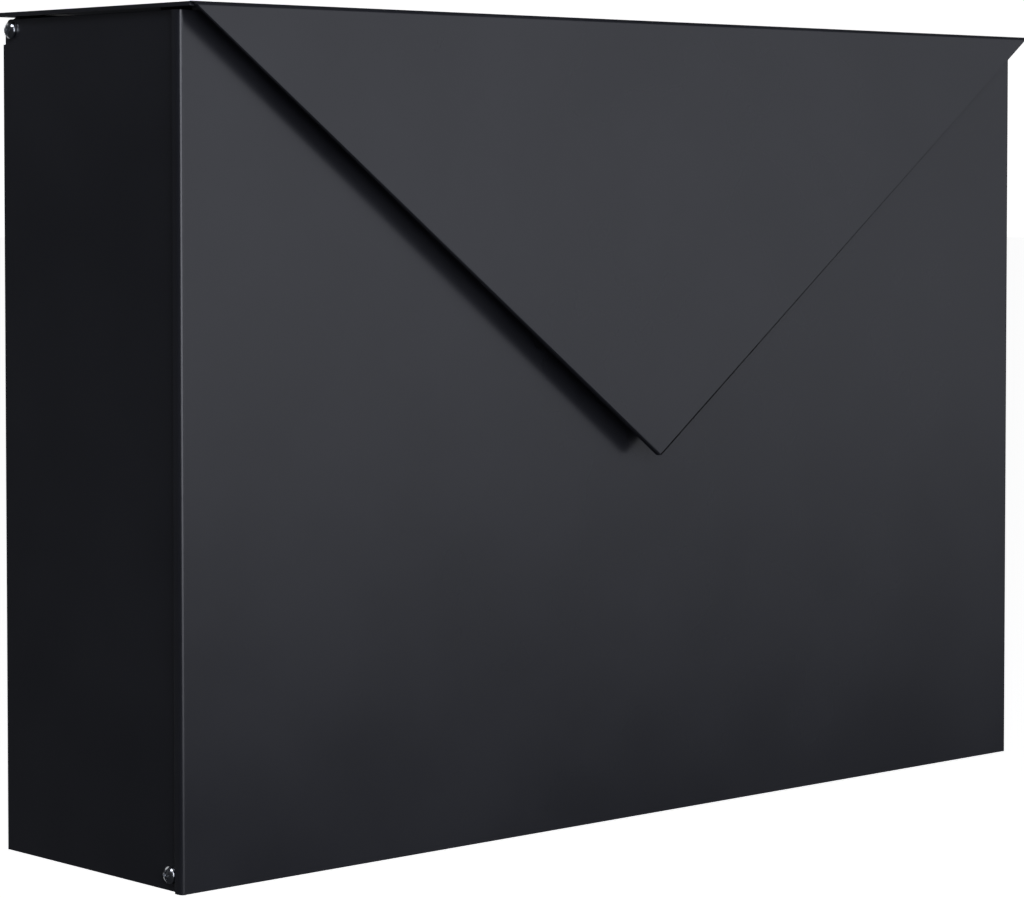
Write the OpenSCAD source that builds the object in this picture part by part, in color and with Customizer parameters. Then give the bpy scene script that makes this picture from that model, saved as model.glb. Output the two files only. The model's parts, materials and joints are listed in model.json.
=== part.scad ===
// Wall mounted mailbox of folded sheet metal.
// A welded housing with an overlay front door hinged at its bottom edge,
// and a lid hinged at the top rear whose front is folded down into a V flap.
// Units are millimetres. +X is to the right, -Y is the front, +Z is up.
// The origin is the centre of the wall holes, on the face of the wall.

/* [Housing] */
// Width across the outside of the side panels
body_w = 396.5; // [330:0.5:480]
// Height of the side panels
body_h = 275.3; // [250:0.1:340]
// Depth of the side panels, from front edge to back face
body_d = 97.5; // [85:0.5:130]
// Thickness of the folded sheet
sheet = 1.5; // [1:0.1:2]
// Inside radius of every fold
bend_in = 0.3; // [0.2:0.1:0.8]

/* [Door] */
// Gap between a side panel and the door's return outside it
door_side_gap = 0.25; // [0.2:0.05:0.6]
// Gap between the door's inner face and the side panels' front edges
door_rest_gap = 0.5; // [0.3:0.05:1]
// Depth of the door's side returns, measured from its front face
door_return = 3.8; // [3:0.1:4.5]
// Distance from the side panels' top down to the door's top
door_top_drop = 0.2; // [0:0.1:2]
// Depth of the fold along the door's top, measured from its front face
door_top_return = 9; // [6:0.5:10]
// Length left unfolded at each end of the door's top
door_top_relief = 10; // [6:1:20]

/* [Lid] */
// Overhang of the lid past each side of the door
lid_overhang = 0.7; // [0.3:0.1:2]
// Gap between the side panels' top edges and the lid
lid_gap = 0.66; // [0.4:0.01:1.2]
// Distance from the housing's back face forward to the lid's rear edge
lid_rear_inset = 2.4; // [1.5:0.1:4]
// Gap between the door's face and the flap, just under the fold
flap_gap = 6.8; // [5.5:0.1:9]
// Angle by which the flap leans out from vertical
flap_lean = 0.48; // [0:0.01:1]
// Height of the V flap, from the lid's top to the sharp tip
flap_h = 150.8; // [100:0.1:170]
// Radius of the flap's tip
tip_r = 1.5; // [1:0.1:6]

/* [Hinges] */
// Diameter of the hinge screws
screw_d = 3; // [3:0.5:4]
// Diameter of the screw heads
head_d = 5.6; // [5:0.1:6]
// Height of the screw heads
head_h = 2.4; // [1.8:0.1:2.6]
// Lid pivot, distance forward of the housing's back face
lid_pivot_in = 6.2; // [4.8:0.1:7]
// Lid pivot, distance below the side panels' top edges
lid_pivot_drop = 3.6; // [3.4:0.1:5]
// Door pivot, distance behind the door's front face
door_pivot_in = 7.9; // [7.5:0.1:9]
// Door pivot, distance above the housing's bottom
door_pivot_up = 5.2; // [4.5:0.1:5.6]
// Radius of the pivot bushes
bush_r = 2.4; // [2.2:0.1:2.8]
// Radius of the bushes' flanges
bush_flange_r = 3.4; // [3:0.1:3.6]
// Thickness of the bushes' flanges
bush_flange_t = 0.5; // [0.4:0.1:0.8]
// Radius of the hinge ears round their pivots
ear_r = 4; // [3.6:0.1:4.2]
// Width of the folded foot of each hinge ear
ear_foot = 11.5; // [8:0.5:16]
// Length of a lid ear's foot along the lid
lid_ear_l = 10; // [8:0.5:20]
// Height of a door ear above its pivot
door_ear_h = 12; // [8:0.5:20]

/* [Mail guard] */
// Distance from the side panels' top down to the guard plate
guard_drop = 9.3; // [9:0.1:14]
// Height of the guard's turned-down edges
guard_lip = 15; // [12:0.5:20]
// Distance from the door's front face back to the guard's lip
guard_front = 11; // [10.5:0.1:14]
// Distance from a side panel's inner face to the mail slot's end
slot_end = 21.75; // [16:0.25:60]
// Depth of the mail slot
slot_d = 34; // [28:1:38]
// Distance from the guard's lip back to the mail slot
slot_in = 9; // [6:0.5:14]
// Corner radius of the mail slot
slot_r = 3; // [1:0.5:8]

/* [Lock] */
// Radius of the lock barrel
barrel_r = 7.95; // [7:0.05:9]
// Radius of the lock's front flange
flange_r = 9.5; // [9:0.1:11]
// Thickness of the lock's front flange
flange_t = 2; // [1.5:0.1:2.5]
// Radius of the lock plug
plug_r = 5.5; // [5:0.1:6]
// Reach of the cam from the lock's axis
cam_reach = 23.5; // [20:0.1:24]
// Width of the cam
cam_w = 13; // [10:0.5:15]
// Thickness of the cam
cam_t = 2; // [1.5:0.1:2.5]
// Gap between the guard's lip and the cam that turns behind it
cam_lip_gap = 2.2; // [1.5:0.1:4]
// Gap between the guard plate and the tip of the raised cam
cam_top_gap = 2; // [1:0.1:20]

/* [Wall fixing] */
// Diameter of the wall holes
wall_hole_d = 7; // [5:0.1:9]
// Wall hole spacing across the width
wall_span_x = 300; // [200:1:320]
// Wall hole spacing up the height
wall_span_z = 180; // [120:1:200]
// Thickness of the rubber wall spacers
spacer_t = 4; // [3:0.5:8]
// Diameter of the rubber wall spacers
spacer_d = 20; // [16:1:30]

/* [Hidden] */
$fn = 64;

// Clearances
hole_play = 0.1;     // round a screw in the sheet
run_play = 0.05;     // running fits, on the radius and along the pivot
thread_play = 0.02;  // between matched threads
swing_play = 0.4;    // round the corners that swing past a pivot
cut = 1;             // overshoot of every cutter

// Planes of the housing
bend_r = sheet + bend_in;
half_w = body_w / 2;
inner_w = half_w - sheet;
z_bottom = -body_h / 2;
z_top = body_h / 2;
y_back = -spacer_t;
y_inner = y_back - sheet;
y_side = y_back - body_d;

// Planes of the door
y_door_in = y_side - door_rest_gap;
y_door = y_door_in - sheet;
door_half_w = half_w + door_side_gap + sheet;
door_h = body_h - door_top_drop;

// Planes of the lid
lid_half_w = door_half_w + lid_overhang;
z_lid_under = z_top + lid_gap;
z_lid = z_lid_under + sheet;
y_lid_rear = y_back - lid_rear_inset;
y_flap = y_door - flap_gap - sheet;
y_lid_bend = y_flap + bend_r;
z_lid_bend = z_lid - bend_r;
z_tip = z_lid - flap_h;
tip_angle = atan(lid_half_w / flap_h);

// Pivots
y_lid_pivot = y_back - lid_pivot_in;
z_lid_pivot = z_top - lid_pivot_drop;
y_door_pivot = y_door + door_pivot_in;
z_door_pivot = z_bottom + door_pivot_up;
screw_r = screw_d / 2;
bush_bore_r = screw_r + run_play;
x_ear = inner_w - bush_flange_t - run_play;
x_bush_end = x_ear - bend_r - 2 * run_play;
nut_t = 0.8 * screw_d;
nut_r = 1.06 * screw_d;
screw_end = 0.5;     // shank showing past a nut

// The housing's cut corners and its back edge clear the swing of lid and door
lid_corner_r = lid_pivot_drop + lid_gap - swing_play;
door_corner_r = door_pivot_in - sheet - swing_play;
back_drop = lid_pivot_drop + lid_pivot_in - lid_rear_inset + 2 * swing_play;
floor_reach = sqrt(max(0, pow(door_corner_r, 2) - pow(door_pivot_up, 2)));
floor_notch_x = x_ear - ear_foot - 2 * swing_play;
floor_notch_y = y_door_pivot + ear_r + 2 * swing_play;

// Guard
z_guard = z_top - guard_drop;
y_guard = y_door + guard_front;
y_slot = y_guard + slot_in;
slot_half_w = inner_w - slot_end;
buffer_x = inner_w - slot_end / 2;
lid_buffer_r = 5;
door_buffer_r = 4;

// Lock
cam_play = 0.2;
z_lock = z_guard - sheet - cam_top_gap - cam_reach;
y_cam = y_guard + sheet + cam_lip_gap;
y_barrel_end = y_cam - cam_play;
gasket_t = 0.5;
y_flange = y_door - gasket_t - flange_t;
lock_nut_t = 3.5;
lock_nut_r = 12.7;
tail_w = 6;
cam_boss_r = cam_w / 2 + 2;
lock_washer_t = 0.8;
lock_washer_r = 5.2;
lock_screw_r = 2;
lock_screw_in = 1.5;    // shank inside the plug
lock_head_r = 3.8;
lock_head_t = 2.4;
lock_recess_l = 2.4;    // half the length of the cross recess
lock_recess_w = 0.4;    // half the width of the cross recess
lock_recess_t = 1.1;
key_w = 1.2;
key_h = 6;
key_depth = 13;
wafer_w = 3.9;
wafer_h = 9.6;
wafer_t = 0.8;
wafer_pitch = 2.4;
wafer_count = 5;

BLACK = "#2c2d31";
STEEL = "#c3c6ca";
BRASS = "#c9a864";
RUBBER = "#1b1b1b";
NYLON = "#d8d8d0";

// A bar along X from x1 to x2 with round section r, on the line y, z
module x_rod(x1, x2, r, y, z) {
    translate([x1, y, z]) rotate([0, 90, 0]) cylinder(h = x2 - x1, r = r);
}

// A bar along Y from y1 to y2 with round section r, on the line x, z
module y_rod(y1, y2, r, x, z) {
    translate([x, y1, z]) rotate([-90, 0, 0]) cylinder(h = y2 - y1, r = r);
}

// A box between two opposite corners
module span(a, b) {
    translate(a) cube(b - a);
}

// A quarter of a folded corner in the first quadrant, centred on its bend axis
module bend_section() {
    intersection() {
        difference() {
            circle(r = bend_r);
            circle(r = bend_r - sheet);
        }
        square(bend_r);
    }
}

module both_sides() {
    children();
    mirror([1, 0, 0]) children();
}

// ---- Housing ----

module side_panel() {
    y_upper_edge = y_lid_pivot + lid_corner_r;
    difference() {
        span([inner_w, y_side, z_bottom], [half_w, y_back - bend_r, z_top]);
        x_rod(inner_w - cut, half_w + cut, screw_r + hole_play, y_lid_pivot, z_lid_pivot);
        x_rod(inner_w - cut, half_w + cut, screw_r + hole_play, y_door_pivot, z_door_pivot);
        difference() {
            span([inner_w - cut, y_lid_pivot, z_lid_pivot], [half_w + cut, y_back, z_top + cut]);
            x_rod(inner_w - 2 * cut, half_w + 2 * cut, lid_corner_r, y_lid_pivot, z_lid_pivot);
        }
        span([inner_w - cut, y_upper_edge, z_top - back_drop],
            [half_w + cut, max(y_back, y_upper_edge) + cut, z_top + cut]);
        difference() {
            span([inner_w - cut, y_side - cut, z_bottom - cut], [half_w + cut, y_door_pivot, z_door_pivot]);
            x_rod(inner_w - 2 * cut, half_w + 2 * cut, door_corner_r, y_door_pivot, z_door_pivot);
        }
    }
}

module back_panel() {
    back_h = body_h - back_drop;
    difference() {
        translate([0, 0, z_bottom]) linear_extrude(height = back_h) {
            translate([-half_w + bend_r, y_inner]) square([body_w - 2 * bend_r, sheet]);
            both_sides() translate([half_w - bend_r, y_back - bend_r]) bend_section();
        }
        for (x = [-0.5, 0.5], z = [-0.5, 0.5]) {
            y_rod(y_inner - cut, y_back + cut, wall_hole_d / 2, x * wall_span_x, z * wall_span_z);
        }
    }
}

module floor_panel() {
    difference() {
        span([-inner_w, y_door_pivot - floor_reach, z_bottom], [inner_w, y_inner, z_bottom + sheet]);
        both_sides() span([floor_notch_x, y_door, z_bottom - cut],
            [inner_w + cut, floor_notch_y, z_bottom + sheet + cut]);
    }
}

module housing() {
    color(BLACK) {
        both_sides() side_panel();
        back_panel();
        floor_panel();
    }
}

// ---- Mail guard: a plate with turned-down edges under the lid ----

module mail_slot() {
    h = sheet + 2 * cut;
    w = slot_half_w;
    translate([0, y_slot, z_guard - sheet - cut]) {
        span([-w, slot_r, 0], [w, slot_d - slot_r, h]);
        span([-w + slot_r, 0, 0], [w - slot_r, slot_d, h]);
        for (x = [-w + slot_r, w - slot_r], y = [slot_r, slot_d - slot_r]) {
            translate([x, y, 0]) cylinder(h = h, r = slot_r);
        }
    }
}

module guard_section() {
    square_h = guard_lip - bend_r;
    depth = y_inner - y_guard;
    translate([bend_r, -sheet]) square([depth - 2 * bend_r, sheet]);
    translate([0, -guard_lip]) square([sheet, square_h]);
    translate([depth - sheet, -guard_lip]) square([sheet, square_h]);
    translate([depth - bend_r, -bend_r]) bend_section();
    translate([bend_r, -bend_r]) mirror([1, 0]) bend_section();
}

module mail_guard() {
    color(BLACK) difference() {
        union() {
            translate([-inner_w + sheet, y_guard, z_guard]) rotate([90, 0, 90])
                linear_extrude(height = 2 * (inner_w - sheet)) guard_section();
            both_sides() span([inner_w - sheet, y_guard + bend_r, z_guard - guard_lip],
                [inner_w, y_inner - bend_r, z_guard]);
        }
        mail_slot();
    }
}

module lid_buffers() {
    color(RUBBER) both_sides() translate([buffer_x, y_guard + slot_in, z_guard])
        cylinder(h = z_lid_under - z_guard, r = lid_buffer_r);
}

module door_buffers() {
    color(RUBBER) both_sides()
        y_rod(y_door_in, y_guard, door_buffer_r, buffer_x, z_guard - guard_lip / 2);
}

module wall_spacers() {
    color(RUBBER) for (x = [-0.5, 0.5], z = [-0.5, 0.5]) difference() {
        y_rod(y_back, 0, spacer_d / 2, x * wall_span_x, z * wall_span_z);
        y_rod(y_back - cut, cut, wall_hole_d / 2, x * wall_span_x, z * wall_span_z);
    }
}

// ---- Hinge hardware, drawn for the right side ----

// Half section of a pan head: flat below, a shallow dome on top
module pan_head_section() {
    cap = head_h * 0.6;
    cap_r = (pow(head_d / 2, 2) + cap * cap) / (2 * cap);
    intersection() {
        translate([0, head_h - cap_r]) circle(r = cap_r);
        square([head_d / 2, head_h]);
    }
}

module hinge_screw(y, z) {
    recess_half = head_d * 0.07;
    recess_len = head_d * 0.3;
    x_recess = half_w + head_h * 0.45;
    x_over = half_w + head_h + cut;
    color(STEEL) difference() {
        union() {
            x_rod(x_bush_end - nut_t - screw_end, half_w + head_h / 4, screw_r, y, z);
            translate([half_w, y, z]) rotate([0, 90, 0]) rotate_extrude() pan_head_section();
        }
        for (arm = [[recess_len, recess_half], [recess_half, recess_len]]) {
            span([x_recess, y - arm.x, z - arm.y], [x_over, y + arm.x, z + arm.y]);
        }
    }
}

module hinge_bush(y, z) {
    color(NYLON) difference() {
        union() {
            x_rod(inner_w - bush_flange_t, inner_w, bush_flange_r, y, z);
            x_rod(x_bush_end, inner_w, bush_r, y, z);
        }
        x_rod(x_bush_end - cut, inner_w + cut, bush_bore_r, y, z);
    }
}

module hinge_nut(y, z) {
    color(STEEL) difference() {
        translate([x_bush_end - nut_t, y, z]) rotate([0, 90, 0]) cylinder(h = nut_t, r = nut_r, $fn = 6);
        x_rod(x_bush_end - nut_t - cut, x_bush_end + cut, screw_r + thread_play, y, z);
    }
}

module to_left() {
    mirror([1, 0, 0]) children();
}

module lid_screw() {
    hinge_screw(y_lid_pivot, z_lid_pivot);
}

module lid_bush() {
    hinge_bush(y_lid_pivot, z_lid_pivot);
}

module lid_nut() {
    hinge_nut(y_lid_pivot, z_lid_pivot);
}

module door_screw() {
    hinge_screw(y_door_pivot, z_door_pivot);
}

module door_bush() {
    hinge_bush(y_door_pivot, z_door_pivot);
}

module door_nut() {
    hinge_nut(y_door_pivot, z_door_pivot);
}

// ---- Lid ----

// Outline of the V flap in X and Z, with its tip rounded
module flap_outline() {
    z_c = z_tip + tip_r / sin(tip_angle);
    tx = tip_r * cos(tip_angle);
    tz = z_c - tip_r * sin(tip_angle);
    polygon([[-lid_half_w, z_lid], [-tx, tz], [tx, tz], [lid_half_w, z_lid]]);
    translate([0, z_c]) circle(r = tip_r);
}

// Section of the fold and the leaning flap, in Y and Z from the axis of the fold
module flap_section() {
    length = flap_h / cos(flap_lean);
    intersection() {
        mirror([1, 0]) bend_section();
        rotate(-flap_lean) translate([-2 * bend_r, 0]) square(2 * bend_r);
    }
    rotate(-flap_lean) translate([-bend_r, -length]) square([sheet, length]);
}

module lid() {
    color(BLACK) {
        span([-lid_half_w, y_lid_bend, z_lid_under], [lid_half_w, y_lid_rear, z_lid]);
        intersection() {
            translate([0, y_lid_bend, z_lid_bend]) rotate([90, 0, 90])
                linear_extrude(height = 2 * lid_half_w, center = true) flap_section();
            translate([0, y_lid_bend, 0]) rotate([90, 0, 0])
                linear_extrude(height = 4 * bend_r) flap_outline();
        }
    }
}

// Folded bracket under the lid that carries the pivot bore.
// Its foot ends in front of the nut, which the bracket turns round.
module lid_ear() {
    y_foot = y_lid_pivot - ear_r;
    y_front = y_foot - lid_ear_l;
    y_rear = y_lid_pivot + 0.75 * ear_r;
    z_low = z_lid_pivot - ear_r / 4;
    z_bend = z_lid_under - bend_r;
    color(BLACK) difference() {
        union() {
            x_rod(x_ear - sheet, x_ear, ear_r, y_lid_pivot, z_lid_pivot);
            span([x_ear - sheet, y_front, z_low], [x_ear, y_rear, z_bend]);
            translate([x_ear - bend_r, y_rear, z_bend]) rotate([90, 0, 0])
                linear_extrude(height = y_rear - y_front) bend_section();
            span([x_ear - ear_foot, y_front, z_lid_under - sheet], [x_ear - bend_r, y_foot, z_lid_under]);
        }
        x_rod(x_ear - sheet - cut, x_ear + cut, bush_r + run_play, y_lid_pivot, z_lid_pivot);
    }
}

// ---- Door ----

module door_plan() {
    translate([-door_half_w + bend_r, y_door]) square([2 * (door_half_w - bend_r), sheet]);
    both_sides() {
        translate([door_half_w - bend_r, y_door + bend_r]) mirror([0, 1]) bend_section();
        translate([door_half_w - sheet, y_door + bend_r]) square([sheet, door_return - bend_r]);
    }
}

// The fold along the door's top, in Y and Z from the axis of the fold
module door_top_section() {
    mirror([1, 0]) bend_section();
    translate([0, bend_r - sheet]) square([door_top_return - bend_r, sheet]);
}

module door() {
    fold_half_w = door_half_w - door_top_relief;
    z_door_top = z_bottom + door_h;
    color(BLACK) difference() {
        union() {
            difference() {
                translate([0, 0, z_bottom]) linear_extrude(height = door_h) door_plan();
                span([-fold_half_w, y_door - cut, z_door_top - bend_r],
                    [fold_half_w, y_door_in + cut, z_door_top + cut]);
            }
            translate([0, y_door + bend_r, z_door_top - bend_r]) rotate([90, 0, 90])
                linear_extrude(height = 2 * fold_half_w, center = true) door_top_section();
        }
        y_rod(y_door - cut, y_door_in + cut, barrel_r + hole_play, 0, z_lock);
    }
}

// Folded bracket behind the door that carries the pivot bore
module door_ear() {
    z_low = z_door_pivot - 0.625 * ear_r;
    z_high = z_door_pivot + door_ear_h;
    color(BLACK) difference() {
        union() {
            x_rod(x_ear - sheet, x_ear, ear_r, y_door_pivot, z_door_pivot);
            span([x_ear - sheet, y_door_in + bend_r, z_low], [x_ear, y_door_pivot, z_high]);
            translate([x_ear - bend_r, y_door_in + bend_r, z_low])
                linear_extrude(height = z_high - z_low) mirror([0, 1]) bend_section();
            span([x_ear - ear_foot, y_door_in, z_low], [x_ear - bend_r, y_door_in + sheet, z_high]);
        }
        x_rod(x_ear - sheet - cut, x_ear + cut, bush_r + run_play, y_door_pivot, z_door_pivot);
    }
}

// ---- Lock ----

module lock_barrel() {
    chamfer = 0.6;
    color(STEEL) difference() {
        union() {
            y_rod(y_flange, y_barrel_end, barrel_r, 0, z_lock);
            y_rod(y_flange + chamfer, y_flange + flange_t, flange_r, 0, z_lock);
            translate([0, y_flange + chamfer, z_lock]) rotate([90, 0, 0]) rotate_extrude()
                polygon([[0, 0], [flange_r, 0], [flange_r - chamfer, chamfer], [0, chamfer]]);
        }
        y_rod(y_flange - cut, y_barrel_end + cut, plug_r + run_play, 0, z_lock);
    }
}

module lock_gasket() {
    color(RUBBER) difference() {
        y_rod(y_door - gasket_t, y_door, flange_r, 0, z_lock);
        y_rod(y_door - gasket_t - cut, y_door + cut, barrel_r + hole_play, 0, z_lock);
    }
}

module lock_nut() {
    color(STEEL) difference() {
        translate([0, y_door_in, z_lock]) rotate([-90, 0, 0])
            cylinder(h = lock_nut_t, r = lock_nut_r, $fn = 6);
        y_rod(y_door_in - cut, y_door_in + lock_nut_t + cut, barrel_r + thread_play, 0, z_lock);
    }
}

// Boxes for the wafers and for their slots, larger by play all round
module wafer_row(play) {
    for (i = [0 : wafer_count - 1]) {
        y = y_door + i * wafer_pitch;
        span([-wafer_w / 2 - play, y - play, z_lock - wafer_h / 2 - play],
            [wafer_w / 2 + play, y + wafer_t + play, z_lock + wafer_h / 2 + play]);
    }
}

module keyway() {
    span([-key_w / 2, y_flange - cut, z_lock - key_h / 2],
        [key_w / 2, y_flange + key_depth, z_lock + key_h / 2]);
}

module lock_plug() {
    y_bore = y_barrel_end - lock_screw_in - 0.5;
    color(BRASS) difference() {
        union() {
            y_rod(y_flange + cam_play, y_barrel_end, plug_r, 0, z_lock);
            span([-tail_w / 2, y_barrel_end, z_lock - tail_w / 2],
                [tail_w / 2, y_cam + cam_t - run_play, z_lock + tail_w / 2]);
        }
        keyway();
        wafer_row(run_play);
        y_rod(y_bore, y_cam + cam_t + cut, lock_screw_r + thread_play, 0, z_lock);
    }
}

module lock_wafers() {
    color(STEEL) difference() {
        wafer_row(0);
        keyway();
    }
}

module lock_cam() {
    color(STEEL) difference() {
        union() {
            y_rod(y_cam, y_cam + cam_t, cam_boss_r, 0, z_lock);
            span([0, y_cam, z_lock - cam_w / 2], [cam_reach, y_cam + cam_t, z_lock + cam_w / 2]);
        }
        span([-tail_w / 2 - run_play, y_cam - cut, z_lock - tail_w / 2 - run_play],
            [tail_w / 2 + run_play, y_cam + cam_t + cut, z_lock + tail_w / 2 + run_play]);
    }
}

module lock_washer() {
    y = y_cam + cam_t;
    color(STEEL) difference() {
        y_rod(y, y + lock_washer_t, lock_washer_r, 0, z_lock);
        y_rod(y - cut, y + lock_washer_t + cut, lock_screw_r + hole_play, 0, z_lock);
    }
}

module lock_screw() {
    y_head = y_cam + cam_t + lock_washer_t;
    y_recess = y_head + lock_head_t - lock_recess_t;
    y_over = y_head + lock_head_t + cut;
    color(STEEL) difference() {
        union() {
            y_rod(y_barrel_end - lock_screw_in, y_head, lock_screw_r, 0, z_lock);
            y_rod(y_head, y_head + lock_head_t, lock_head_r, 0, z_lock);
        }
        for (arm = [[lock_recess_l, lock_recess_w], [lock_recess_w, lock_recess_l]]) {
            span([-arm.x, y_recess, z_lock - arm.y], [arm.x, y_over, z_lock + arm.y]);
        }
    }
}

housing();
mail_guard();
lid_buffers();
door_buffers();
wall_spacers();
to_left() lid_screw();  // lid_screw_left
lid_screw();  // lid_screw_right
to_left() door_screw();  // door_screw_left
door_screw();  // door_screw_right
to_left() lid_bush();  // lid_bush_left
lid_bush();  // lid_bush_right
to_left() door_bush();  // door_bush_left
door_bush();  // door_bush_right
to_left() lid_nut();  // lid_nut_left
lid_nut();  // lid_nut_right
to_left() door_nut();  // door_nut_left
door_nut();  // door_nut_right
lid();
to_left() lid_ear();  // lid_ear_left
lid_ear();  // lid_ear_right
door();
to_left() door_ear();  // door_ear_left
door_ear();  // door_ear_right
lock_barrel();
lock_gasket();
lock_nut();
lock_plug();
lock_wafers();
lock_cam();
lock_washer();
lock_screw();
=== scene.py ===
"""Looks of a wall mounted mailbox of folded sheet steel.

Every CAD node is shown by a finished copy with rounded edges, and spot welds, weld beads
and the lock barrel's thread are added. Lengths are in metres, in the CAD frame: the front
faces -Y.
"""
import json
import math

import bmesh
import bpy
from mathutils import Matrix, Vector
from mathutils.bvhtree import BVHTree


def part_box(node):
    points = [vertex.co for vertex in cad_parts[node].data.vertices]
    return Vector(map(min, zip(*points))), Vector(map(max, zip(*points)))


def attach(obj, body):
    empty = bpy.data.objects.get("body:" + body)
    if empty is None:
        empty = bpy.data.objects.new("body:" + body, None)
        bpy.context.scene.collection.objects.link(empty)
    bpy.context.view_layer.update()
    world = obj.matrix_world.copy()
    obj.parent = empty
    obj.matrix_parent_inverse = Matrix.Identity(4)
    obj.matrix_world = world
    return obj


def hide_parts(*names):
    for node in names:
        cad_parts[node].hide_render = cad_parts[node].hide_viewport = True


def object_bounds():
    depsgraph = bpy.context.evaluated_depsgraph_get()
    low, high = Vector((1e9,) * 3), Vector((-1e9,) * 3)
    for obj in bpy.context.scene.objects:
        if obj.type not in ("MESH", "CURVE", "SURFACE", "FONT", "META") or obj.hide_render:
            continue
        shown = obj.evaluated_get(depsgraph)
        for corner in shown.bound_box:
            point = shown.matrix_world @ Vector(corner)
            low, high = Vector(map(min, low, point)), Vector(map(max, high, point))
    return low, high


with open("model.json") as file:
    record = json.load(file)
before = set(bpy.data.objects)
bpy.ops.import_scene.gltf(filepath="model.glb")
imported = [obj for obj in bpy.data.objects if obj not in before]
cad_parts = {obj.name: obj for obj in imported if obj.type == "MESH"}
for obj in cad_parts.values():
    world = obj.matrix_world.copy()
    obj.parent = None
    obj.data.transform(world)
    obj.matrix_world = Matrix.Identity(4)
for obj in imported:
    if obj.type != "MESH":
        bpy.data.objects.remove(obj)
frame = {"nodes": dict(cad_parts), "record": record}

RECORD = frame["record"]
SLOT_OF = {part["node"]: part["material_slot"] for part in RECORD["subparts"]}
BODY_OF = {node: body for body, nodes in RECORD["behaviour"]["bodies"].items() for node in nodes}
MM = 0.001

cad_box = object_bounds()
cad_centre = (cad_box[0] + cad_box[1]) / 2


# ---- Camera ----

CAMERA_PLACE = Vector((-0.83229, -0.94809, 0.08464))
CAMERA_TURN = math.radians(-42.402)
CAMERA_TILT = math.radians(-2.275)
CAMERA_LENS = 119.59
CAMERA_SHIFT = -0.13


def make_camera():
    data = bpy.data.cameras.new("camera")
    data.lens = CAMERA_LENS
    data.shift_y = CAMERA_SHIFT
    camera = bpy.data.objects.new("camera", data)
    camera.location = CAMERA_PLACE
    camera.rotation_euler = (math.radians(90) + CAMERA_TILT, 0, CAMERA_TURN)
    bpy.context.scene.collection.objects.link(camera)
    bpy.context.scene.camera = camera


# ---- Studio ----

AMBIENT = (0.020, 0.021, 0.024)
COOL = (0.885, 0.91, 1.0)
NEUTRAL = (1.0, 1.0, 1.0)

# Heights above the object's centre: a glow panel's lower and upper edge, and where its light
# starts and where it is full
PANEL_HEIGHT = (-0.60, 1.00)
PANEL_FADE = (-0.45, -0.05)

# Azimuth in degrees, distance, width, glow at the left and at the right edge
GLOW_PANELS = {
    "key": (36, 1.55, 2.2, 1.74, 0.34),
    "front_strip": (-27, 1.5, 0.8, 4.4, 4.4),
}

# Azimuth and elevation in degrees, distance, width and height, radiance, tint
SOFTBOXES = {
    "left_fill": (228, 6, 1.8, (1.4, 1.6), 0.04, COOL),
    "left_high": (288, 46, 1.6, (0.7, 0.5), 5.0, COOL),
    "low_back": (158, -22, 1.8, (2.6, 0.9), 0.5, NEUTRAL),
    "back_fill": (190, 26, 1.8, (1.2, 1.0), 0.7, NEUTRAL),
    "right_fill": (108, 10, 1.8, (0.9, 1.2), 0.55, NEUTRAL),
    "top": (10, 84, 1.6, (1.3, 1.0), 0.35, NEUTRAL),
}

FLOOR_DROP = 0.45
FLOOR_GLOW = 0.95
BACKDROP_R = 40
BACKDROP_GLOW = 1.05
STAGE_COLOUR = (0.86, 0.86, 0.86)
STAGE_ROUGHNESS = 0.9


def direction(azimuth, elevation):
    """Unit vector from the object towards a light: azimuth 0 is the front, 90 the right side."""
    a, e = math.radians(azimuth), math.radians(elevation)
    return Vector((math.sin(a) * math.cos(e), -math.cos(a) * math.cos(e), math.sin(e)))


def softbox(name, azimuth, elevation, distance, size, radiance, tint):
    """A flat light that faces the object, out of the camera's sight."""
    data = bpy.data.lights.new(name, "AREA")
    data.shape = "RECTANGLE"
    data.size, data.size_y = size
    data.energy = radiance * math.pi * size[0] * size[1]
    data.color = tint
    light = bpy.data.objects.new(name, data)
    towards = direction(azimuth, elevation)
    light.location = cad_centre + towards * distance
    light.rotation_euler = towards.to_track_quat("Z", "Y").to_euler()
    light.visible_camera = False
    bpy.context.scene.collection.objects.link(light)


def glow_material(name, width, left_glow, right_glow):
    """Light that fades downwards and changes from one side of a panel to the other."""
    material, nodes, links, shader = new_material(name)
    shader.inputs["Base Color"].default_value = (0, 0, 0, 1)
    shader.inputs["Specular IOR Level"].default_value = 0
    shader.inputs["Emission Color"].default_value = (*COOL, 1)
    place = nodes.new("ShaderNodeTexCoord")
    split = nodes.new("ShaderNodeSeparateXYZ")
    links.new(place.outputs["Object"], split.inputs["Vector"])
    glow = nodes.new("ShaderNodeMath")
    glow.operation = "MULTIPLY"
    across = ("X", -width / 2, width / 2, left_glow, right_glow)
    upwards = ("Y", *PANEL_FADE, 0, 1)
    for socket, (axis, start, end, at_start, at_end) in enumerate((across, upwards)):
        value = remap(nodes, links, split.outputs[axis], (start, end), (at_start, at_end))
        links.new(value, glow.inputs[socket])
    links.new(glow.outputs["Value"], shader.inputs["Emission Strength"])
    return material


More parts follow.
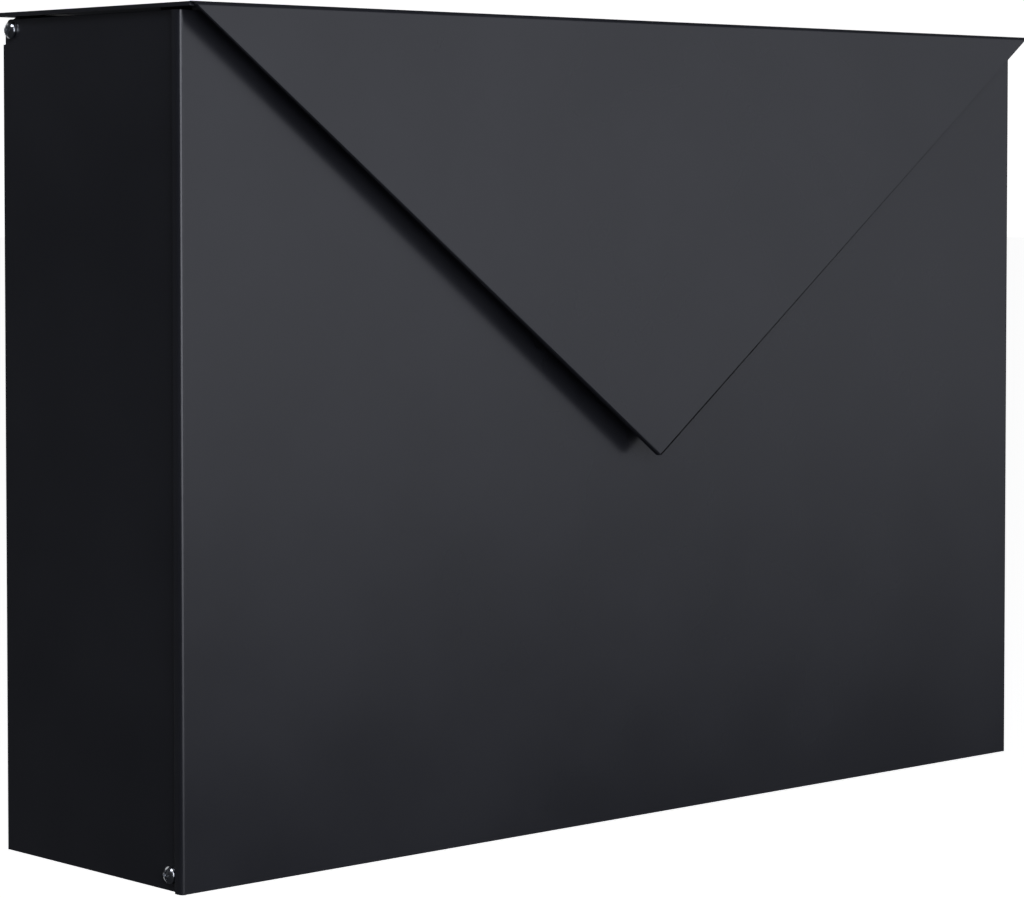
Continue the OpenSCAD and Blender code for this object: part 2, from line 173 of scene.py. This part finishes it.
def glow_panel(name, azimuth, distance, width, left_glow, right_glow):
    """An upright glowing panel that faces the object, out of the camera's sight."""
    low, high = PANEL_HEIGHT
    bm = bmesh.new()
    corners = [(-width / 2, low, 0), (width / 2, low, 0), (width / 2, high, 0), (-width / 2, high, 0)]
    bm.faces.new([bm.verts.new(corner) for corner in corners])
    mesh = mesh_of(name, bm)
    mesh.materials.append(glow_material(name, width, left_glow, right_glow))
    panel = bpy.data.objects.new(name, mesh)
    panel.location = cad_centre + direction(azimuth, 0) * distance
    panel.rotation_euler = (math.radians(90), 0, math.radians(azimuth))
    panel.visible_camera = False
    panel.visible_shadow = False
    bpy.context.scene.collection.objects.link(panel)


def stage_material(name, brightness):
    material, _, _, shader = new_material(name)
    shader.inputs["Base Color"].default_value = (*STAGE_COLOUR, 1)
    shader.inputs["Roughness"].default_value = STAGE_ROUGHNESS
    shader.inputs["Emission Color"].default_value = (1, 1, 1, 1)
    shader.inputs["Emission Strength"].default_value = brightness
    return material


def add_surround(name, bm, brightness):
    """White surroundings that only the camera sees."""
    mesh = mesh_of(name, bm)
    mesh.materials.append(stage_material(name, brightness))
    surround = bpy.data.objects.new(name, mesh)
    surround.visible_diffuse = False
    surround.visible_glossy = False
    surround.visible_shadow = False
    bpy.context.scene.collection.objects.link(surround)


def make_studio():
    scene = bpy.context.scene
    scene.view_settings.view_transform = "Standard"
    world = bpy.data.worlds.new("studio")
    world.use_nodes = True
    world.node_tree.nodes["Background"].inputs["Color"].default_value = (*AMBIENT, 1)
    scene.world = world

    for name, setting in GLOW_PANELS.items():
        glow_panel(name, *setting)
    for name, setting in SOFTBOXES.items():
        softbox(name, *setting)

    floor = bmesh.new()
    bmesh.ops.create_circle(floor, cap_ends=True, radius=BACKDROP_R, segments=96,
                            matrix=Matrix.Translation((0, 0, cad_box[0].z - FLOOR_DROP)))
    add_surround("floor", floor, FLOOR_GLOW)
    dome = bmesh.new()
    bmesh.ops.create_uvsphere(dome, u_segments=48, v_segments=24, radius=BACKDROP_R)
    add_surround("backdrop", dome, BACKDROP_GLOW)


# ---- Materials ----

# Parts of a noise pattern's range over which the colour and the roughness change
COLOUR_SPAN = (0.35, 0.65)
ROUGHNESS_SPAN = (0.3, 0.7)


def new_material(name):
    material = bpy.data.materials.new(name)
    material.use_nodes = True
    tree = material.node_tree
    return material, tree.nodes, tree.links, tree.nodes["Principled BSDF"]


def noise(nodes, links, scale, detail, stretch=(1, 1, 1)):
    """A noise pattern fixed to the object; scale is in features per metre."""
    place = nodes.new("ShaderNodeTexCoord")
    mapping = nodes.new("ShaderNodeMapping")
    mapping.inputs["Scale"].default_value = stretch
    texture = nodes.new("ShaderNodeTexNoise")
    texture.inputs["Scale"].default_value = scale
    texture.inputs["Detail"].default_value = detail
    links.new(place.outputs["Object"], mapping.inputs["Vector"])
    links.new(mapping.outputs["Vector"], texture.inputs["Vector"])
    return texture.outputs["Fac"]


def remap(nodes, links, value, before, after):
    """Maps a value from the range before to the range after."""
    span = nodes.new("ShaderNodeMapRange")
    span.inputs["From Min"].default_value, span.inputs["From Max"].default_value = before
    span.inputs["To Min"].default_value, span.inputs["To Max"].default_value = after
    links.new(value, span.inputs["Value"])
    return span.outputs["Result"]


def vary_colour(nodes, links, shader, factor, dark, light):
    ramp = nodes.new("ShaderNodeValToRGB")
    for element, position, colour in zip(ramp.color_ramp.elements, COLOUR_SPAN, (dark, light)):
        element.position = position
        element.color = (*colour, 1)
    links.new(factor, ramp.inputs["Fac"])
    links.new(ramp.outputs["Color"], shader.inputs["Base Color"])


def vary_roughness(nodes, links, shader, factor, smooth, rough):
    roughness = remap(nodes, links, factor, ROUGHNESS_SPAN, (smooth, rough))
    links.new(roughness, shader.inputs["Roughness"])


def add_bumps(nodes, links, shader, layers):
    """Stacks bumps; each layer is a pattern, its height in metres and its strength."""
    normal = None
    for factor, height, strength in layers:
        bump = nodes.new("ShaderNodeBump")
        bump.inputs["Distance"].default_value = height
        bump.inputs["Strength"].default_value = strength
        links.new(factor, bump.inputs["Height"])
        if normal is not None:
            links.new(normal, bump.inputs["Normal"])
        normal = bump.outputs["Normal"]
    links.new(normal, shader.inputs["Normal"])


def powder_coat():
    """Satin black powder coat: a fine orange peel over faint cloudy variation."""
    material, nodes, links, shader = new_material("powder_coat")
    cloud = noise(nodes, links, scale=18, detail=3)
    grain = noise(nodes, links, scale=2600, detail=2)
    peel = noise(nodes, links, scale=620, detail=1)
    vary_colour(nodes, links, shader, cloud,
                dark=(0.0150, 0.0156, 0.0190), light=(0.0190, 0.0197, 0.0235))
    vary_roughness(nodes, links, shader, cloud, smooth=0.23, rough=0.26)
    add_bumps(nodes, links, shader, [(peel, 0.006 * MM, 0.3), (grain, 0.003 * MM, 0.35)])
    return material


def zinc_steel():
    """Bright zinc plate over rolled steel, a little cloudy."""
    material, nodes, links, shader = new_material("zinc_steel")
    cloud = noise(nodes, links, scale=260, detail=4)
    scratch = noise(nodes, links, scale=900, detail=3, stretch=(1, 12, 1))
    vary_colour(nodes, links, shader, cloud, dark=(0.50, 0.52, 0.55), light=(0.66, 0.67, 0.69))
    vary_roughness(nodes, links, shader, cloud, smooth=0.13, rough=0.24)
    add_bumps(nodes, links, shader, [(scratch, 0.003 * MM, 0.35)])
    shader.inputs["Metallic"].default_value = 1
    return material


def lock_chrome():
    """Dull nickel plate of a die-cast lock, with faint handling marks."""
    material, nodes, links, shader = new_material("lock_chrome")
    smear = noise(nodes, links, scale=420, detail=5, stretch=(1, 1, 3))
    pits = noise(nodes, links, scale=3200, detail=1)
    vary_colour(nodes, links, shader, smear, dark=(0.60, 0.60, 0.61), light=(0.72, 0.72, 0.72))
    vary_roughness(nodes, links, shader, smear, smooth=0.14, rough=0.30)
    add_bumps(nodes, links, shader, [(pits, 0.002 * MM, 0.3)])
    shader.inputs["Metallic"].default_value = 1
    return material


def brass():
    """Turned brass with tool lines and a slight tarnish."""
    material, nodes, links, shader = new_material("brass")
    tarnish = noise(nodes, links, scale=380, detail=4)
    lines = noise(nodes, links, scale=500, detail=2, stretch=(1, 14, 1))
    vary_colour(nodes, links, shader, tarnish, dark=(0.42, 0.28, 0.10), light=(0.62, 0.45, 0.19))
    vary_roughness(nodes, links, shader, tarnish, smooth=0.24, rough=0.44)
    add_bumps(nodes, links, shader, [(lines, 0.004 * MM, 0.4)])
    shader.inputs["Metallic"].default_value = 1
    return material


def rubber():
    """Matte moulded rubber with a chalky bloom."""
    material, nodes, links, shader = new_material("rubber")
    bloom = noise(nodes, links, scale=160, detail=4)
    grain = noise(nodes, links, scale=2200, detail=2)
    vary_colour(nodes, links, shader, bloom,
                dark=(0.012, 0.012, 0.012), light=(0.026, 0.026, 0.027))
    vary_roughness(nodes, links, shader, bloom, smooth=0.68, rough=0.86)
    add_bumps(nodes, links, shader, [(grain, 0.02 * MM, 0.5)])
    return material


def nylon():
    """Natural nylon, slightly waxy, with a faint mottle."""
    material, nodes, links, shader = new_material("nylon")
    mottle = noise(nodes, links, scale=240, detail=3)
    grain = noise(nodes, links, scale=1800, detail=2)
    vary_colour(nodes, links, shader, mottle, dark=(0.60, 0.59, 0.53), light=(0.72, 0.71, 0.66))
    vary_roughness(nodes, links, shader, mottle, smooth=0.38, rough=0.52)
    add_bumps(nodes, links, shader, [(grain, 0.01 * MM, 0.35)])
    shader.inputs["Subsurface Weight"].default_value = 0.08
    shader.inputs["Subsurface Scale"].default_value = 1.5 * MM
    return material


MATERIALS = {make.__name__: make() for make in
             (powder_coat, zinc_steel, lock_chrome, brass, rubber, nylon)}


# ---- Finished copies of the CAD nodes ----

# Points closer than this become one point
MERGE = 2e-6
# Angles between faces: still one flat face, an edge to round, an edge to shade as a crease
FLAT = math.radians(0.3)
SHARP = math.radians(30)
CREASE = math.radians(55)
# Edges up to this length are rounded by a share of the radius only
LONG_EDGE = 2.5 * MM
SHORT_EDGE_SHARE = 0.4

# Radius to which a node's edges are rounded, and how many steps that takes
COAT_EDGE = (0.2 * MM, 3)
EDGES = {
    "housing": COAT_EDGE, "mail_guard": COAT_EDGE, "lid": COAT_EDGE, "door": COAT_EDGE,
    "lid_ear": COAT_EDGE, "door_ear": COAT_EDGE,
    "lid_buffers": (0.9 * MM, 4), "door_buffers": (0.8 * MM, 4), "wall_spacers": (0.6 * MM, 3),
    "lid_screw": (0.07 * MM, 2), "door_screw": (0.07 * MM, 2),
    "lid_bush": (0.12 * MM, 2), "door_bush": (0.12 * MM, 2),
    "lid_nut": (0.2 * MM, 2), "door_nut": (0.2 * MM, 2),
    "lock_barrel": (0.15 * MM, 2), "lock_gasket": (0.1 * MM, 2), "lock_nut": (0.35 * MM, 2),
    "lock_plug": (0.1 * MM, 2), "lock_wafers": (0.05 * MM, 1), "lock_cam": (0.25 * MM, 2),
    "lock_washer": (0.12 * MM, 2), "lock_screw": (0.15 * MM, 2),
}


def mesh_of(name, bm):
    mesh = bpy.data.meshes.new(name)
    bm.to_mesh(mesh)
    bm.free()
    return mesh


def soften(mesh):
    """Smooth shading that keeps flat faces flat and true creases sharp."""
    mesh.shade_smooth()
    mesh.set_sharp_from_angle(angle=CREASE)


def add_piece(name, mesh, body, slot):
    mesh.materials.clear()
    mesh.materials.append(MATERIALS[slot])
    piece = bpy.data.objects.new(name, mesh)
    bpy.context.scene.collection.objects.link(piece)
    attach(piece, body)
    return piece


def apply_modifiers(piece):
    bpy.context.view_layer.update()
    shown = piece.evaluated_get(bpy.context.evaluated_depsgraph_get())
    mesh = bpy.data.meshes.new_from_object(shown)
    piece.modifiers.clear()
    piece.data = mesh


def rounded_piece(name, node, radius, steps, body, slot):
    """A copy of a CAD node whose sharp edges are rounded, less on short edges."""
    bm = bmesh.new()
    bm.from_mesh(frame["nodes"][node].data)
    bmesh.ops.remove_doubles(bm, verts=bm.verts, dist=MERGE)
    surface = BVHTree.FromBMesh(bm)
    bmesh.ops.dissolve_limit(bm, angle_limit=FLAT, verts=bm.verts, edges=bm.edges)
    weight = bm.edges.layers.float.new("bevel_weight_edge")
    for edge in bm.edges:
        if len(edge.link_faces) == 2 and edge.calc_face_angle(0) > SHARP:
            edge[weight] = 1 if edge.calc_length() > LONG_EDGE else SHORT_EDGE_SHARE
    piece = add_piece(name, mesh_of(name, bm), body, slot)
    bevel = piece.modifiers.new("rounding", "BEVEL")
    bevel.width = radius
    bevel.segments = steps
    bevel.limit_method = "WEIGHT"
    bevel.use_clamp_overlap = False
    bevel.loop_slide = False
    apply_modifiers(piece)
    for vert in piece.data.vertices:
        nearest, _, _, distance = surface.find_nearest(vert.co)
        if distance > radius:
            vert.co = nearest
    soften(piece.data)
    weigh = piece.modifiers.new("weigh_normals", "WEIGHTED_NORMAL")
    weigh.keep_sharp = True
    weigh.weight = 100
    apply_modifiers(piece)
    return piece


def finish_nodes():
    for node, body in BODY_OF.items():
        kind = node.removesuffix("_left").removesuffix("_right")
        piece = rounded_piece(node + "_finished", node, *EDGES[kind], body, SLOT_OF[node])
        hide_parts(node)


# ---- Welds and thread ----

# Thickness of the sheets and radius of the lock barrel, as in the CAD
SHEET = 1.5 * MM
BARREL_R = 7.95 * MM

# Section of a spot weld, from its rim to its middle: share of its radius, height
SPOT_SECTION = [(1.0, -0.05 * MM), (0.86, 0.10 * MM), (0.74, 0.13 * MM),
                (0.62, 0.04 * MM), (0.05, 0.03 * MM)]
SPOT_STEPS = 28

# Spot welds of an ear sit at this share of its width from its inner end
EAR_SPOT_ACROSS = 0.4
DOOR_EAR_SPOT_R = 2.2 * MM
DOOR_EAR_SPOT_SHARES = (0.28, 0.74)
LID_EAR_SPOT_R = 1.9 * MM
LID_EAR_SPOT_DEPTHS = (2.6 * MM, 7.4 * MM)
GUARD_SPOT_R = 2.4 * MM
GUARD_SPOT_SHARES = (0.16, 0.5, 0.84)
GUARD_SPOT_RISE = 6.5 * MM

# A weld bead is a chain of ripples. At its ends it has a share of its radius, and from there it
# grows with BEAD_TAPER times the share of its length
BEAD_R = 1.0 * MM
BEAD_STEPS = 14
BEAD_RIPPLE = 1.6 * MM
RINGS_PER_RIPPLE = 4
RIPPLE_DEPTH = 0.1
BEAD_END_SHARE = 0.35
BEAD_TAPER = 6
SIDE_BEAD_SHARES = (0.2, 0.5, 0.8)
SIDE_BEAD_HALF = Vector((0, 7 * MM, 0))
BACK_BEAD_SHARES = (-0.8, -0.4, 0, 0.4, 0.8)
BACK_BEAD_HALF = Vector((9 * MM, 0, 0))

# Section of the thread's ridge: share of the pitch, height over the barrel
THREAD_PITCH = 1.0 * MM
THREAD_SECTION = [(0.05, -0.1 * MM), (0.45, 0.35 * MM), (0.55, 0.35 * MM), (0.95, -0.1 * MM)]
THREAD_STEPS = 48
THREAD_END_GAP = 0.2 * MM


def ring_piece(name, ring_sets, body, slot):
    """One piece of closed forms, each given as rings of points that follow one another."""
    bm = bmesh.new()
    for rings in ring_sets:
        rows = [[bm.verts.new(point) for point in ring] for ring in rings]
        for row, after in zip(rows, rows[1:]):
            for i in range(len(row)):
                j = (i + 1) % len(row)
                bm.faces.new((row[i], row[j], after[j], after[i]))
        bm.faces.new(rows[0][::-1])
        bm.faces.new(rows[-1])
    bmesh.ops.recalc_face_normals(bm, faces=bm.faces)
    mesh = mesh_of(name, bm)
    soften(mesh)
    add_piece(name, mesh, body, slot)


def circle_points(centre, normal, radius, steps):
    across = normal.orthogonal().normalized()
    along = normal.cross(across)
    angles = [math.tau * i / steps for i in range(steps)]
    return [centre + radius * (across * math.cos(a) + along * math.sin(a)) for a in angles]


def spot_weld(centre, normal, radius):
    return [circle_points(centre + normal * height, normal, radius * share, SPOT_STEPS)
            for share, height in SPOT_SECTION]


def weld_bead(middle, half):
    """A short run of overlapping ripples along an inside corner."""
    start = middle - half
    end = middle + half
    length = (end - start).length
    along = (end - start).normalized()
    count = round(RINGS_PER_RIPPLE * length / BEAD_RIPPLE)
    rings = []
    for i in range(count + 1):
        share = i / count
        swell = 1 - RIPPLE_DEPTH + RIPPLE_DEPTH * math.cos(math.tau * share * length / BEAD_RIPPLE)
        taper = min(1, BEAD_END_SHARE + BEAD_TAPER * min(share, 1 - share))
        radius = BEAD_R * swell * taper
        rings.append(circle_points(start + along * length * share, along, radius, BEAD_STEPS))
    return rings


def ear_box(node):
    """Corners of an ear's box, and where along X its spot welds sit."""
    low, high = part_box(node)
    inner, outer = sorted((low.x, high.x), key=abs)
    return low, high, inner + EAR_SPOT_ACROSS * (outer - inner)


def add_ear_welds():
    door_spots = []
    lid_spots = []
    for side in ("left", "right"):
        low, high, x = ear_box("door_ear_" + side)
        for share in DOOR_EAR_SPOT_SHARES:
            centre = Vector((x, low.y + SHEET, low.z + share * (high.z - low.z)))
            door_spots.append(spot_weld(centre, Vector((0, 1, 0)), DOOR_EAR_SPOT_R))
        low, high, x = ear_box("lid_ear_" + side)
        for depth in LID_EAR_SPOT_DEPTHS:
            centre = Vector((x, low.y + depth, high.z - SHEET))
            lid_spots.append(spot_weld(centre, Vector((0, 0, -1)), LID_EAR_SPOT_R))
    ring_piece("door_ear_spot_welds", door_spots, BODY_OF["door_ear_left"], "powder_coat")
    ring_piece("lid_ear_spot_welds", lid_spots, BODY_OF["lid_ear_left"], "powder_coat")


def add_guard_welds():
    low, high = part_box("mail_guard")
    spots = []
    for side in (-1, 1):
        for share in GUARD_SPOT_SHARES:
            y = low.y + share * (high.y - low.y)
            centre = Vector((side * (high.x - SHEET), y, low.z + GUARD_SPOT_RISE))
            spots.append(spot_weld(centre, Vector((-side, 0, 0)), GUARD_SPOT_R))
    ring_piece("guard_spot_welds", spots, BODY_OF["mail_guard"], "powder_coat")


def add_floor_welds():
    low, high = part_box("housing")
    inner_x, inner_y, floor_z = high.x - SHEET, high.y - SHEET, low.z + SHEET
    beads = []
    for side in (-1, 1):
        for share in SIDE_BEAD_SHARES:
            middle = Vector((side * inner_x, low.y + share * (inner_y - low.y), floor_z))
            beads.append(weld_bead(middle, SIDE_BEAD_HALF))
    for share in BACK_BEAD_SHARES:
        beads.append(weld_bead(Vector((share * inner_x, inner_y, floor_z)), BACK_BEAD_HALF))
    ring_piece("floor_weld_beads", beads, BODY_OF["housing"], "powder_coat")


def thread(axis_x, axis_z, start, end, radius):
    """A ridge wound round an axis along Y; its own section takes up the last pitch."""
    turns = (end - start) / THREAD_PITCH - 1
    rings = []
    for i in range(round(turns * THREAD_STEPS) + 1):
        angle = math.tau * i / THREAD_STEPS
        y = start + THREAD_PITCH * i / THREAD_STEPS
        rings.append([Vector((axis_x + (radius + rise) * math.cos(angle), y + share * THREAD_PITCH,
                              axis_z + (radius + rise) * math.sin(angle)))
                      for share, rise in THREAD_SECTION])
    return rings


def add_barrel_thread():
    """The barrel's thread, from behind the lock nut to just short of the barrel's end."""
    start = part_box("lock_nut")[1].y
    low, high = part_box("lock_barrel")
    axis = (low + high) / 2
    ridge = thread(axis.x, axis.z, start, high.y - THREAD_END_GAP, BARREL_R)
    ring_piece("lock_barrel_thread", [ridge], BODY_OF["lock_barrel"], "lock_chrome")


make_camera()
make_studio()
finish_nodes()
add_ear_welds()
add_guard_welds()
add_floor_welds()
add_barrel_thread()
